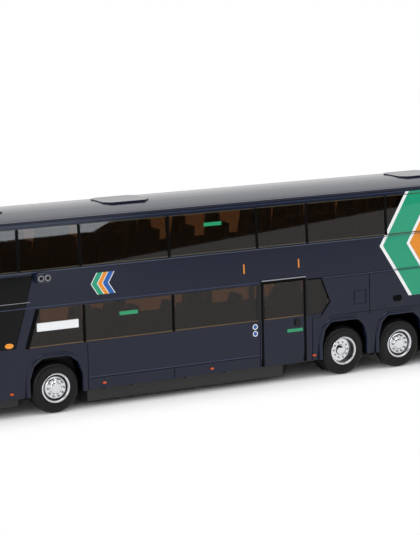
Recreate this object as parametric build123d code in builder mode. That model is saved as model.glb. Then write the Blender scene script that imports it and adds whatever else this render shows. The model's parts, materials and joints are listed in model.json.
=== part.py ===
from build123d import *
import math
import os

os.makedirs("parts", exist_ok=True)

# Scale model of a three-axle double-deck coach at 1:76, in millimetres.
# +X points to the nose, +Y to the coach's left side, +Z up. The floor is Z = 0.
# The origin is below the middle of the box that holds the whole model.

# Body casting
body_length = 185.5
body_width = 33.6
crown_height = 53.0
skirt_bottom = 5.27
skirt_top = 8.47
skirt_tuck = 0.35
shoulder_height = 28.0
side_lean = 1.05
crown_radius = 75.0
nose_rake = 4.6
nose_bow = 2.4
tail_rake = 2.2
nose_corner = 5.0
tail_corner = 3.0
brow_radius = 4.0
inner_cut = 0.6
bow_flat = 0.33
bow_step = 0.7
wall = 1.2
seam_depth = 0.22
rail_size = 0.34
rail_stand = 0.16
waist_rail_z = 38.07
gutter_z = 51.3
hatch_length = 13.5
hatch_width = 12.0
hatch_stand = 0.35
hatch_sink = 0.12
hatch_corner = 1.8

# Wheels and axles
wheelbase = 87.7
tag_spacing = 18.5
front_overhang = 36.8
tyre_radius = 6.85
tyre_width = 4.0
twin_width = 3.6
twin_gap = 0.9
tyre_face = 16.4
tyre_shoulder = 0.9
tyre_sides = 28
rim_radius = 4.1
rim_sides = 20
rim_bead = 0.45
rim_slope = 0.4
cap_radius = 1.7
cap_sides = 12
cap_slope = 0.4
cap_floor = 0.3
pin_radius = 0.75
pin_clearance = 0.05
pin_press = 0.02
fit_gap = 0.04

# Wheel arches
arch_side = 9.4
arch_lip = 0.95
lip_stand = 0.3

# Glass
flush_gap = 0.08
pane_gap = 0.07
glass_depth = 0.9
glass_margin = 0.8
wall_seat = 0.05
strip_reach = 3.2
surface_gap = 0.02
trim_stand = 0.35
pillar = 0.8
upper_glass_low = 38.5
upper_glass_high = 49.7
lower_glass_low = 18.3
lower_glass_high = 28.4

# Mirrors
mirror_reach = 3.4
mirror_side = 19.4
mirror_top = 37.2
mirror_low = 25.4
arm_radius = 0.5
head_depth = 2.8
head_height = 5.6

# Doors
door_gap = 0.3
access_door_front = 61.5
access_door_rear = 75.4
access_door_top = 29.1
door_rail_stand = 0.3
entrance_front = -31.0
entrance_rear = -17.4
entrance_top = 36.8

# Decks
lower_floor_top = 10.4
platform_top = 16.9
upper_floor_top = 30.2
deck_plate = 0.8
deck_half = 14.1
seat_pitch = 10.5
upper_seat_height = 17.5
lower_seat_height = 14.0
window_seat_drop = 1.9
seat_depth = 5.6
seat_width = 5.3
seat_gap = 0.5
notch_depth = 4.0
aisle = 3.6

# Chassis
chassis_bottom = 1.6
chassis_half = 14.2
flange_top = 5.22
flange_depth = 0.45
flange_half = 14.95
spine_half = 7.2
spine_bottom = 2.6
notch_half = 8.6
bearing_top = 8.6
screw_radius = 0.8
screw_head = 1.5
screw_sides = 12
post_half = 1.7
plinth_hole_radius = 0.9
plinth_hole_depth = 5.0
boss_radius = 2.4
boss_rise = 2.4
head_sink = 0.9
head_height_low = 0.75
rib_width = 1.4
pocket_count = 4
pocket_depth = 1.0
pocket_width = 5.2
pocket_y = 10.6

half_width = body_width / 2
total_length = body_length + mirror_reach
front_x = total_length / 2
nose_x = front_x - mirror_reach
tail_x = -front_x
front_axle_x = nose_x - front_overhang
drive_axle_x = front_axle_x - wheelbase
tag_axle_x = drive_axle_x - tag_spacing
axle_places = [front_axle_x, drive_axle_x, tag_axle_x]
reach = body_width
low_middle = (Align.CENTER, Align.CENTER, Align.MIN)


def aft(distance):
    """Place along the coach, measured back from the front axle."""
    return front_axle_x - distance


def side_at(height):
    """Outer half width of the body at a height above the shoulder."""
    rise = max(0, height - shoulder_height)
    return half_width - side_lean * rise / (gutter_z - shoulder_height)


def inner_plan(nose, tail, side):
    """Plan of the body's inside: the bowed nose in flat steps, with its corners cut off."""
    front = nose - nose_bow
    cut = inner_cut * nose_corner
    tail_cut = inner_cut * tail_corner
    left_half = [
        (nose, bow_flat * side),
        (nose - bow_step * nose_bow, side - cut),
        (front - cut, side),
        (tail + tail_cut, side),
        (tail, side - tail_cut),
    ]
    right_half = [(x, -y) for x, y in reversed(left_half)]
    with BuildSketch() as plan:
        with BuildLine():
            Polyline(*left_half, *right_half, close=True)
        make_face()
    return plan.sketch


def body_form(inset):
    """Outer form of the body, with every face but the open bottom moved in."""
    side = half_width - inset
    crown = crown_height - inset
    cant_y = side - side_lean
    arch_radius = crown_radius - inset
    cant_z = crown - arch_radius + math.sqrt(arch_radius**2 - cant_y**2)
    nose = nose_x - inset
    tail = tail_x + inset
    hidden = inset >= wall
    with BuildPart() as form:
        with BuildSketch(Plane.YZ) as section:
            with BuildLine() as outline:
                Line((0, skirt_bottom), (side - skirt_tuck, skirt_bottom))
                Line((side - skirt_tuck, skirt_bottom), (side, skirt_top))
                Line((side, skirt_top), (side, shoulder_height))
                Line((side, shoulder_height), (cant_y, cant_z))
                RadiusArc((cant_y, cant_z), (0, crown), -arch_radius)
                Line((0, crown), (0, skirt_bottom))
            make_face()
            mirror(about=Plane.YZ)
        extrude(amount=total_length, both=True)
        with BuildSketch(Plane.XZ) as profile:
            with BuildLine() as side_view:
                Polyline(
                    (tail + 0.5, 0),
                    (tail, skirt_top + 1.5),
                    (tail, shoulder_height),
                    (tail + tail_rake, crown),
                    (nose - nose_rake, crown),
                    (nose - 0.6, shoulder_height + 2),
                    (nose, shoulder_height - 8),
                    (nose, skirt_top + 1),
                    (nose - 0.8, 0),
                    close=True,
                )
            make_face()
            brow = profile.vertices().group_by(Axis.Y)[-1]
            if hidden:
                chamfer(brow, length=inner_cut * brow_radius)
            else:
                fillet(brow, radius=brow_radius)
        extrude(amount=body_width, both=True, mode=Mode.INTERSECT)
        with BuildSketch(Plane.XY) as plan:
            if hidden:
                add(inner_plan(nose, tail, side))
            else:
                with BuildLine() as plan_view:
                    Polyline((nose - nose_bow, -side), (tail, -side), (tail, side), (nose - nose_bow, side))
                    ThreePointArc((nose - nose_bow, side), (nose, 0), (nose - nose_bow, -side))
                make_face()
                fillet(plan.vertices().group_by(Axis.X)[-1], radius=nose_corner)
                fillet(plan.vertices().group_by(Axis.X)[0], radius=tail_corner)
        extrude(amount=crown_height, mode=Mode.INTERSECT)
    return form.part


def outline_face(points):
    """Closed face through plain corner points."""
    with BuildSketch() as face:
        with BuildLine():
            Polyline(*points, close=True)
        make_face()
    return face.sketch


def box_points(front, rear, low, high):
    """Corner points of an upright rectangle on the side of the coach, places aft."""
    return [(aft(front), low), (aft(rear), low), (aft(rear), high), (aft(front), high)]


def cut_corner_face(place, middle, length, height, corner):
    """Small outline on the side of the coach, with its corners cut off."""
    with BuildSketch() as face:
        with Locations((aft(place), middle)):
            Rectangle(length, height)
        chamfer(face.vertices(), length=corner)
    return face.sketch


def side_prism(faces, grow):
    """Prism through the whole width of the coach from faces drawn on its side."""
    with BuildPart() as prism:
        with BuildSketch(Plane.XZ):
            for face in faces:
                add(offset(face, amount=grow, kind=Kind.INTERSECTION) if grow else face)
        extrude(amount=reach, both=True)
    return prism.part


def end_prism(face, grow, at_nose):
    """Prism through the nose or tail wall from a face drawn across the coach."""
    start = nose_x - 9 if at_nose else tail_x + 7
    length = 12 if at_nose else -12
    with BuildPart() as prism:
        with BuildSketch(Plane.YZ.offset(start)):
            add(offset(face, amount=grow, kind=Kind.INTERSECTION) if grow else face)
        extrude(amount=length)
    return prism.part


def across_face(half_low, half_high, low, high, corner):
    """Face across the coach, narrower at its top, with its corners cut off."""
    points = [(-half_low, low), (half_low, low), (half_high, high), (-half_high, high)]
    with BuildSketch() as face:
        add(outline_face(points))
        chamfer(face.vertices(), length=corner)
    return face.sketch


def arch_face(place, half, top_half, top, grow):
    """Wheel arch outline on the side of the coach, open to below the skirt."""
    side = half + grow
    haunch = (2 * side + top_half) / 3
    haunch_z = arch_side + 0.66 * (top - arch_side) + 0.8 * grow
    right_half = [
        (top_half, top + grow),
        (haunch, haunch_z),
        (side, arch_side),
        (side, 0),
    ]
    left_half = [(-x, z) for x, z in reversed(right_half)]
    return outline_face([(place + x, z) for x, z in left_half + right_half])


def skin(outside, inside):
    """Layer between two forms of the body."""
    with BuildPart() as layer:
        add(outside)
        add(inside, mode=Mode.SUBTRACT)
    return layer.part


def half_box(left):
    """Box that holds one side of the coach, from strip_reach inside its widest place."""
    middle = reach + half_width - strip_reach
    with BuildPart() as half:
        with Locations((0, middle if left else -middle, crown_height / 2)):
            Box(2 * total_length, 2 * reach, 2 * crown_height)
    return half.part


# Side openings: aft places of the dividers between the panes
upper_dividers = [-26.2, -9.2, 8.2, 34.1, 60.8, 76.5, 102.1, 127.5, 138.5]
lower_dividers = [8.5, 34.6, 60.5]
upper_panes = []
for front, rear in zip(upper_dividers, upper_dividers[1:]):
    corners = box_points(front + pillar / 2, rear - pillar / 2, upper_glass_low, upper_glass_high)
    upper_panes.append(outline_face(corners))
lower_panes = []
for front, rear in zip(lower_dividers, lower_dividers[1:]):
    corners = box_points(front + pillar / 2, rear - pillar / 2, lower_glass_low, lower_glass_high)
    lower_panes.append(outline_face(corners))
slanted_pane = outline_face([
    (aft(-4.6), lower_glass_high),
    (aft(-8.1), lower_glass_low),
    (aft(lower_dividers[0] - pillar / 2), lower_glass_low),
    (aft(lower_dividers[0] - pillar / 2), lower_glass_high),
])
lower_panes.append(slanted_pane)
with BuildSketch() as quarter_pane:
    quarter_front = access_door_rear + 0.7
    add(outline_face([
        (aft(quarter_front), lower_glass_low),
        (aft(quarter_front), lower_glass_high),
        (aft(quarter_front + 4.2), lower_glass_high),
        (aft(quarter_front + 7.1), lower_glass_low + 3.2),
        (aft(quarter_front + 4.2), lower_glass_low),
    ]))
    chamfer(quarter_pane.vertices().group_by(Axis.X)[0], length=0.6)
lower_panes.append(quarter_pane.sketch)
door_pane = outline_face(
    box_points(access_door_front + 0.9, access_door_rear - 0.9, lower_glass_low, lower_glass_high)
)

# Black corner panels behind the front corners, with a slanted rear edge
panel_low = 18.6
panel_high = 37.5
corner_panel = [
    (aft(-5.3), panel_high),
    (aft(-11.0), panel_low),
    (aft(entrance_rear), panel_low),
    (aft(entrance_rear), panel_high),
]
driver_panel = corner_panel[:2] + [(aft(entrance_front), panel_low), (aft(entrance_front), panel_high)]

access_door_face = outline_face(box_points(access_door_front, access_door_rear, 0, access_door_top))
entrance_face = outline_face(box_points(entrance_front, entrance_rear + 0.01, 0, entrance_top))
upper_screen = across_face(13.4, 12.6, 34.0, 49.4, 1.4)
lower_screen = across_face(13.8, 13.8, 14.2, 29.2, 1.4)
rear_pane = across_face(12.4, 11.8, 38.8, 48.6, 1.2)
engine_face = across_face(10.6, 10.6, 11.8, 25.0, 0.8)
bumper_high = 12.6
bumper_depth = 5.4
rear_bumper_high = 10.6
lamp_low = 8.4
lamp_high = 11.6

lamp_width = 5.4
lamp_place = 11.6
grille_width = 14.0


def lamp_faces(place, width, low, high, corner):
    """Pair of lamp outlines across the coach, with their corners cut off."""
    with BuildSketch() as faces:
        with Locations((-place, (low + high) / 2), (place, (low + high) / 2)):
            Rectangle(width, high - low)
        chamfer(faces.vertices(), length=corner)
    return faces.sketch


head_faces = lamp_faces(lamp_place, lamp_width, lamp_low, lamp_high, 1.2)
tail_faces = lamp_faces(13.4, 2.6, 12.4, 23.6, 0.8)

outer_form = body_form(0)
flush_form = body_form(flush_gap)
inner_form = body_form(wall)
surface_form = body_form(-surface_gap)
proud_form = body_form(-trim_stand)
window_skin = skin(flush_form, body_form(wall + glass_depth))
band_skin = skin(body_form(wall + wall_seat), body_form(wall + glass_depth))
casting_skin = skin(outer_form, inner_form)
panel_skin = skin(flush_form, inner_form)
trim_skin = skin(proud_form, surface_form)


def bumper_box(at_nose, high, depth):
    """Box round the lower nose or tail, from below the skirt to a height."""
    place = nose_x if at_nose else tail_x
    with BuildPart() as zone:
        with Locations((place, 0, high / 2)):
            Box(2 * depth, 2 * reach, high)
    return zone.part


# Body casting: sides, roof, nose and tail in one hollow piece, open below
arch_table = [
    # axle place, half width, half of the flat top, height of the top
    (front_axle_x, 7.65, 3.4, 15.5),
    (drive_axle_x, 7.35, 4.2, 15.8),
    (tag_axle_x, 7.35, 4.2, 15.8),
]
seam_runs = [
    # front, rear, low, high
    (9.0, 9.3, skirt_bottom, 17.9),
    (9.0, 60.9, 8.25, 8.55),
    (34.4, 34.7, skirt_bottom, 8.3),
    (60.8, 61.0, skirt_bottom, 17.9),
    (77.3, 77.55, skirt_bottom, 17.6),
    (77.3, 80.4, 17.4, 17.65),
    (83.4, 146.0, 17.4, 17.65),
    (96.0, 96.25, 16.6, 28.1),
    (80.9, 146.0, 28.0, 28.2),
    (80.9, 146.0, 28.6, 28.8),
    (116.0, 116.3, skirt_bottom, 28.1),
]
flap_front = 90.9
flap_rear = 95.0
flap_low = 19.8
flap_high = 23.9
flap_line = 0.3
vent_place = 105.3
vent_z = 20.2
vent_length = 2.9
vent_height = 1.9
hatch_places = [-22.0, 20.5, 114.0]

with BuildPart() as seams:
    with BuildSketch(Plane.XZ):
        for front, rear, low, high in seam_runs:
            add(outline_face(box_points(front, rear, low, high)))
        add(outline_face(box_points(flap_front, flap_rear, flap_low, flap_high)))
        flap_points = box_points(
            flap_front + flap_line, flap_rear - flap_line, flap_low + flap_line, flap_high - flap_line
        )
        add(outline_face(flap_points), mode=Mode.SUBTRACT)
        add(cut_corner_face(vent_place, vent_z, vent_length, vent_height, 0.6))
    extrude(amount=reach, both=True)
    add(body_form(seam_depth), mode=Mode.SUBTRACT)

with BuildPart() as body_shell:
    add(casting_skin)
    for place, half, top_half, top in arch_table:
        with BuildSketch(Plane.XZ):
            add(arch_face(place, half, top_half, top, arch_lip))
        extrude(amount=half_width + lip_stand, both=True)
    with Locations((0, 0, skirt_bottom / 2)):
        Box(2 * total_length, 2 * reach, skirt_bottom, mode=Mode.SUBTRACT)
    for height in [waist_rail_z, gutter_z]:
        for side in [-1, 1]:
            with Locations(((nose_x + tail_x) / 2, side * (side_at(height) - 0.1), height)):
                Box(body_length - 16, 2 * rail_stand + 0.2, rail_size)
    door_middle = aft((access_door_front + access_door_rear) / 2)
    for side in [-1, 1]:
        with Locations((door_middle, side * (side_at(access_door_top) - 0.1), access_door_top + rail_size)):
            Box(access_door_rear - access_door_front, 2 * door_rail_stand + 0.2, 1.2 * rail_size)
    for place in hatch_places:
        with BuildSketch(Plane.XY.offset(crown_height - wall / 2)) as hatch:
            with Locations((aft(place + hatch_length / 2), 0)):
                Rectangle(hatch_length, hatch_width)
            chamfer(hatch.vertices(), length=hatch_corner)
        extrude(amount=wall / 2 + hatch_stand - hatch_sink)
    add(inner_form, mode=Mode.SUBTRACT)
    for place, half, top_half, top in arch_table:
        with BuildSketch(Plane.XZ):
            add(arch_face(place, half, top_half, top, 0))
        extrude(amount=reach, both=True, mode=Mode.SUBTRACT)
    add(seams.part, mode=Mode.SUBTRACT)
    add(side_prism(upper_panes + lower_panes + [access_door_face], 0), mode=Mode.SUBTRACT)
    with BuildSketch(Plane.XZ.offset(-reach)):
        add(outline_face(corner_panel))
        add(entrance_face)
    extrude(amount=reach - 8, mode=Mode.SUBTRACT)
    with BuildSketch(Plane.XZ.offset(reach)):
        add(outline_face(driver_panel))
    extrude(amount=-(reach - 8), mode=Mode.SUBTRACT)
    add(end_prism(upper_screen, 0, True), mode=Mode.SUBTRACT)
    add(end_prism(lower_screen, 0, True), mode=Mode.SUBTRACT)
    add(end_prism(rear_pane, 0, False), mode=Mode.SUBTRACT)
    add(end_prism(engine_face, 0, False), mode=Mode.SUBTRACT)
    add(end_prism(tail_faces, 0, False), mode=Mode.SUBTRACT)
    add(bumper_box(True, bumper_high, bumper_depth), mode=Mode.SUBTRACT)
    add(bumper_box(False, rear_bumper_high, bumper_depth), mode=Mode.SUBTRACT)
body_shell.part.label = "body_shell"
export_step(body_shell.part, "parts/body_shell.step")


def write_piece(piece, name):
    """Name a finished piece and write it to its own file."""
    piece.label = name
    export_step(piece, f"parts/{name}.step")


# Side glass: one strip for each deck and side, its panes standing in the openings
def glass_strip(panes, front, rear, left):
    """Strip inside the wall that carries its panes flush with the outside."""
    low = min(pane.bounding_box().min.Y for pane in panes) - glass_margin
    high = max(pane.bounding_box().max.Y for pane in panes) + glass_margin
    with BuildPart() as standing:
        add(window_skin)
        add(side_prism(panes, -pane_gap), mode=Mode.INTERSECT)
    with BuildPart() as strip:
        add(band_skin)
        add(side_prism([outline_face(box_points(front, rear, low, high))], 0), mode=Mode.INTERSECT)
        add(standing.part)
        add(half_box(left), mode=Mode.INTERSECT)
    return strip.part


for left in [True, False]:
    side_name = "left" if left else "right"
    write_piece(glass_strip(upper_panes, -26.6, 139.5, left), f"glazing_upper_{side_name}")
    with_door = lower_panes[:3] + [door_pane]
    write_piece(glass_strip(with_door, -9.0, access_door_rear - 0.1, left), f"glazing_lower_{side_name}")
    quarter_strip = glass_strip(lower_panes[3:], access_door_rear + 0.3, 84.2, left)
    write_piece(quarter_strip, f"quarter_glass_{side_name}")


def end_glass(face, at_nose):
    """Screen at the nose or tail, with a rim behind the casting."""
    with BuildPart() as standing:
        add(window_skin)
        add(end_prism(face, -pane_gap, at_nose), mode=Mode.INTERSECT)
    with BuildPart() as screen:
        add(band_skin)
        add(end_prism(face, glass_margin, at_nose), mode=Mode.INTERSECT)
        add(standing.part)
    return screen.part


write_piece(end_glass(upper_screen, True), "windscreen_upper")
write_piece(end_glass(lower_screen, True), "windscreen_lower")
write_piece(end_glass(rear_pane, False), "rear_window")

# Doors and black corner panels


def side_panel(face, left, grow):
    """Panel that fills an opening in one side of the casting."""
    with BuildPart() as panel:
        add(panel_skin)
        add(side_prism([face], grow), mode=Mode.INTERSECT)
        add(half_box(left), mode=Mode.INTERSECT)
    return panel.part


panel_seam_z = 30.5
with BuildSketch() as panel_seam:
    add(outline_face(box_points(entrance_front - 1, -4.0, panel_seam_z - 0.12, panel_seam_z + 0.12)))
    leaf_middle = (entrance_front + entrance_rear) / 2
    add(outline_face(box_points(leaf_middle - 0.15, leaf_middle + 0.15, 0, entrance_top)))
with BuildPart() as panel_grooves:
    add(side_prism([panel_seam.sketch], 0))
    add(body_form(seam_depth), mode=Mode.SUBTRACT)
with BuildPart() as door_openings:
    add(side_prism([door_pane], 0))

for face, left, gap, cut, name in [
    # outline, left side, gap all round, what is cut from it, node
    (outline_face(corner_panel), True, pane_gap, panel_grooves, "corner_panel_left"),
    (outline_face(driver_panel), False, pane_gap, panel_grooves, "corner_panel_right"),
    (entrance_face, True, door_gap, panel_grooves, "entrance_door"),
    (access_door_face, True, door_gap, door_openings, "access_door"),
    (access_door_face, False, door_gap, door_openings, "emergency_door"),
]:
    with BuildPart() as side_piece:
        add(side_panel(face, left, -gap))
        add(cut.part, mode=Mode.SUBTRACT)
    write_piece(side_piece.part, name)

# Bumpers, with pockets for the lamps, and the engine cover with its louvres
plate_length = 6.9
plate_high = 1.6
plate_z = 6.9
plate_depth = 0.75
plate_thickness = 0.3
with BuildPart() as front_bumper:
    add(casting_skin)
    add(bumper_box(True, bumper_high - pane_gap, bumper_depth - pane_gap), mode=Mode.INTERSECT)
    add(end_prism(head_faces, 0, True), mode=Mode.SUBTRACT)
    with BuildSketch(Plane.YZ.offset(nose_x + 3)):
        with Locations((0, (lamp_low + lamp_high) / 2)):
            Rectangle(grille_width, lamp_high - lamp_low)
    extrude(amount=-10, mode=Mode.SUBTRACT)
    with Locations((nose_x - plate_depth, 0, plate_z)):
        Box(2, plate_length, plate_high, align=(Align.MIN, Align.CENTER, Align.CENTER), mode=Mode.SUBTRACT)
write_piece(front_bumper.part, "front_bumper")

with BuildPart() as headlamps:
    add(window_skin)
    add(end_prism(head_faces, -pane_gap, True), mode=Mode.INTERSECT)
write_piece(headlamps.part, "headlamps")

with BuildPart() as front_grille:
    with BuildSketch(Plane.YZ.offset(nose_x - 2.6)):
        with Locations((0, (lamp_low + lamp_high) / 2)):
            Rectangle(grille_width - 2 * pane_gap, lamp_high - lamp_low - 2 * pane_gap)
    extrude(amount=0.9)
    with BuildSketch(Plane.YZ.offset(nose_x - 1.7)):
        with GridLocations(0, 0.8, 1, 4):
            with Locations((0, (lamp_low + lamp_high) / 2)):
                Rectangle(grille_width - 0.8, 0.3)
    extrude(amount=0.9)
write_piece(front_grille.part, "front_grille")

with BuildPart() as rear_bumper:
    add(casting_skin)
    add(bumper_box(False, rear_bumper_high - pane_gap, bumper_depth - pane_gap), mode=Mode.INTERSECT)
    with Locations((tail_x + plate_depth, 0, plate_z)):
        Box(2, plate_length, plate_high, align=(Align.MAX, Align.CENTER, Align.CENTER), mode=Mode.SUBTRACT)
write_piece(rear_bumper.part, "rear_bumper")

with BuildPart() as engine_cover:
    add(panel_skin)
    add(end_prism(engine_face, -pane_gap, False), mode=Mode.INTERSECT)
    with BuildSketch(Plane.YZ.offset(tail_x - 1)):
        with Locations((0, 16.0)):
            with GridLocations(9.6, 1.1, 2, 6):
                Rectangle(8.4, 0.5)
    extrude(amount=1.7, mode=Mode.SUBTRACT)
write_piece(engine_cover.part, "engine_cover")

with BuildPart() as tail_lamps:
    add(window_skin)
    add(end_prism(tail_faces, -pane_gap, False), mode=Mode.INTERSECT)
write_piece(tail_lamps.part, "tail_lamps")

with BuildPart() as number_plates:
    for place in [nose_x - plate_depth + plate_thickness / 2, tail_x + plate_depth - plate_thickness / 2]:
        with Locations((place, 0, plate_z)):
            Box(plate_thickness, plate_length - 2 * pane_gap, plate_high - 2 * pane_gap)
write_piece(number_plates.part, "number_plates")

# Wipers that lie along the lower screen
with BuildPart() as wipers:
    add(trim_skin)
    with BuildSketch(Plane.YZ.offset(nose_x - 6)):
        for side in [-1, 1]:
            with Locations(Location((side * 6.2, 16.6), 14 * side)):
                Rectangle(10.5, 0.5)
            with Locations(Location((side * 3.4, 14.6), 52 * side)):
                Rectangle(3.4, 0.6)
    extrude(amount=12, mode=Mode.INTERSECT)
write_piece(wipers.part, "wipers")

# Side lamps, handles, flaps and camera pods on the sides
marker_places = [-12.6, 13.8, 45.9, 78.0, 122.0]
marker_z = 6.7
repeater_place = -12.9
repeater_z = 19.6
with BuildPart() as marker_lamps:
    with BuildSketch(Plane.XZ):
        for place in marker_places:
            add(cut_corner_face(place, marker_z, 1.6, 0.9, 0.3))
        add(cut_corner_face(repeater_place, repeater_z, 2.6, 1.5, 0.55))
    extrude(amount=reach, both=True)
    add(trim_skin, mode=Mode.INTERSECT)
write_piece(marker_lamps.part, "marker_lamps")

with BuildPart() as door_handles:
    with BuildSketch(Plane.XZ):
        add(cut_corner_face(72.7, 16.7, 1.7, 1.9, 0.3))
    extrude(amount=reach, both=True)
    add(skin(proud_form, flush_form), mode=Mode.INTERSECT)
write_piece(door_handles.part, "door_handles")

pod_length = 4.2
pod_height = 3.4
pod_depth = 2.0
pod_z = 36.5
pod_place = -3.0
for side, side_name in [(1, "left"), (-1, "right")]:
    pod_y = side_at(pod_z - pod_height / 2) + surface_gap + pod_depth / 2
    with BuildPart() as pod:
        with Locations((aft(pod_place), side * pod_y, pod_z)):
            Box(pod_length, pod_depth, pod_height)
        chamfer(pod.edges().filter_by(Axis.Y), length=0.9)
        chamfer(pod.faces().sort_by(Axis.Y)[-1 if side > 0 else 0].edges(), length=0.5)
    write_piece(pod.part, f"side_pod_{side_name}")

    with BuildPart() as view_mirror:
        root = (nose_x - 4.6, side * 13.8, mirror_top)
        elbow = (nose_x - 0.9, side * (mirror_side - 1.0), mirror_top)
        tip = (nose_x + mirror_reach - 1.4, side * (mirror_side - 1.0), mirror_top - 1.6)
        head_joint = (tip[0], tip[1], mirror_low + 5.0)
        with BuildLine() as arm_line:
            Polyline(root, elbow, tip, head_joint)
        with BuildSketch(Plane(origin=root, z_dir=arm_line.line % 0)):
            RegularPolygon(arm_radius, 6)
        sweep(transition=Transition.RIGHT)
        with Locations((front_x - head_depth / 2, side * (mirror_side - 1.1), mirror_low + head_height / 2)):
            Box(head_depth, 2.2, head_height)
        chamfer(view_mirror.edges().filter_by(Axis.Z).group_by(Axis.X)[-1], length=0.7)
        add(surface_form, mode=Mode.SUBTRACT)
    write_piece(view_mirror.part, f"mirror_{side_name}")

# Lower deck moulding: floor, boxes over the front wheels, and the platform over the rear wheels
tyre_inner = tyre_face - tyre_width
box_half = tyre_radius + 1.6
box_rise = 4.6
wheel_room = 0.6
screw_places = [-22.0, 134.0]
plinth_places = [-16.0, 122.0]
screw_grip = 3.4
platform_front = 77.6
deck_front = -29.5
deck_rear = 145.0
rib = 0.8
with BuildPart() as lower_deck:
    with BuildSketch(Plane.XZ):
        with BuildLine():
            Polyline(
                (aft(deck_front), lower_floor_top),
                (aft(platform_front), lower_floor_top),
                (aft(platform_front), platform_top),
                (aft(deck_rear), platform_top),
                (aft(deck_rear), platform_top - deck_plate),
                (aft(platform_front + rib), platform_top - deck_plate),
                (aft(platform_front + rib), lower_floor_top - deck_plate),
                (aft(deck_front), lower_floor_top - deck_plate),
                close=True,
            )
        make_face()
    extrude(amount=deck_half, both=True)
    for side in [-1, 1]:
        with Locations((front_axle_x, side * deck_half, lower_floor_top - deck_plate)):
            box_width = 2 * (deck_half - tyre_inner + wheel_room)
            Box(2 * (box_half + rib), box_width + 2 * rib, box_rise + rib, align=low_middle)
            Box(2 * box_half, box_width, box_rise, align=low_middle, mode=Mode.SUBTRACT)
    with Locations((0, deck_half + reach, 0), (0, -deck_half - reach, 0)):
        Box(2 * total_length, 2 * reach, 4 * reach, mode=Mode.SUBTRACT)
    for place, post_top in zip(screw_places, [lower_floor_top, platform_top]):
        with Locations((aft(place), 0, flange_top + surface_gap)):
            post_height = post_top - deck_plate / 2 - flange_top
            Box(2 * post_half, 2 * post_half, post_height, align=low_middle)
        with BuildSketch(Plane.XY.offset(flange_top)):
            with Locations((aft(place), 0)):
                RegularPolygon(screw_radius + fit_gap, screw_sides, major_radius=False)
        extrude(amount=screw_grip, mode=Mode.SUBTRACT)
write_piece(lower_deck.part, "lower_deck")

# Upper deck floor, with the stairwell on the right side
stair_front = 44.0
stair_rear = 60.0
stair_width = 6.0
stair_steps = 8
upper_front = -29.8
with BuildPart() as upper_deck:
    with Locations(((aft(upper_front) + aft(deck_rear)) / 2, 0, upper_floor_top)):
        Box(
            deck_rear - upper_front, 2 * deck_half, deck_plate,
            align=(Align.CENTER, Align.CENTER, Align.MAX),
        )
    with Locations(((aft(stair_front) + aft(stair_rear)) / 2, -deck_half, upper_floor_top)):
        Box(stair_rear - stair_front, 2 * (stair_width + 0.4), 3 * deck_plate, mode=Mode.SUBTRACT)
write_piece(upper_deck.part, "upper_deck")

stair_low = lower_floor_top + surface_gap
stair_rise = (upper_floor_top - deck_plate - stair_low) / stair_steps
stair_going = (stair_rear - stair_front - 1.0) / stair_steps
with BuildPart() as stairs:
    with BuildSketch(Plane.XZ.offset(deck_half)):
        with BuildLine():
            corners = [(aft(stair_front + 0.5), stair_low)]
            for step in range(stair_steps):
                place = aft(stair_front + 0.5 + step * stair_going)
                corners.append((place, stair_low + (step + 1) * stair_rise))
                corners.append((place - stair_going, stair_low + (step + 1) * stair_rise))
            end = aft(stair_front + 0.5 + stair_steps * stair_going)
            corners.append((end, stair_low + (stair_steps - 1) * stair_rise))
            corners.append((aft(stair_front + 0.5 + 1.2 * stair_going), stair_low))
            Polyline(*corners, close=True)
        make_face()
    extrude(amount=-stair_width)
write_piece(stairs.part, "stairs")


def seat_outline(floor, height):
    """Side view of a seat pair, its foot at the sketch's origin, facing the nose."""
    return outline_face([
        (3.4, floor),
        (seat_depth, floor + 4.6),
        (seat_depth - 0.2, floor + 5.8),
        (0.7, floor + 5.4),
        (-1.6, floor + height),
        (-2.9, floor + height),
        (-1.9, floor),
    ])


def seat_rows(floor, height, left_places, right_places):
    """Seat pairs on both sides of the aisle, the seat by the window lower than the other."""
    pair_width = 2 * seat_width + seat_gap
    notch_low = floor + height - notch_depth
    window_low = floor + height - window_seat_drop
    with BuildPart() as rows:
        for side, places in [(1, left_places), (-1, right_places)]:
            with BuildSketch(Plane.XZ.offset(-side * aisle / 2)):
                with Locations(*[(aft(place), 0) for place in places]):
                    add(seat_outline(floor, height))
            extrude(amount=-side * pair_width)
            with Locations((0, side * (aisle / 2 + seat_width + reach / 2), window_low)):
                Box(2 * total_length, reach, 2 * window_seat_drop, align=low_middle, mode=Mode.SUBTRACT)
            with Locations((0, side * (aisle + pair_width) / 2, notch_low)):
                Box(2 * total_length, seat_gap, 2 * notch_depth, align=low_middle, mode=Mode.SUBTRACT)
    return rows.part


front_rows = [-17.2, -6.7, 6.2]
upper_rows = front_rows + [19.65 + seat_pitch * row for row in range(12)]
lower_rows = [15.5 + seat_pitch * row for row in range(5)]
clear_of_stairs = [place for place in upper_rows if not stair_front - 5 < place < stair_rear + 6]
upper_seats = seat_rows(upper_floor_top + surface_gap, upper_seat_height, upper_rows, clear_of_stairs)
write_piece(upper_seats, "upper_seats")
ahead_of_stairs = [place for place in lower_rows if place < stair_front - 8]
lower_seats = seat_rows(lower_floor_top + surface_gap, lower_seat_height, lower_rows, ahead_of_stairs)
write_piece(lower_seats, "lower_seats")

# Driving place, on the right side behind the lower screen
driver_y = -8.5
with BuildPart() as dashboard:
    with BuildSketch(Plane.XZ.offset(-12.0)):
        with BuildLine():
            Polyline(
                (aft(-22.0), lower_floor_top + surface_gap),
                (aft(-21.0), lower_floor_top + 5.2),
                (aft(-23.0), lower_floor_top + 6.6),
                (aft(-29.5), lower_floor_top + 6.0),
                (aft(-29.5), lower_floor_top + surface_gap),
                close=True,
            )
        make_face()
    extrude(amount=24.0)
write_piece(dashboard.part, "dashboard")

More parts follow.
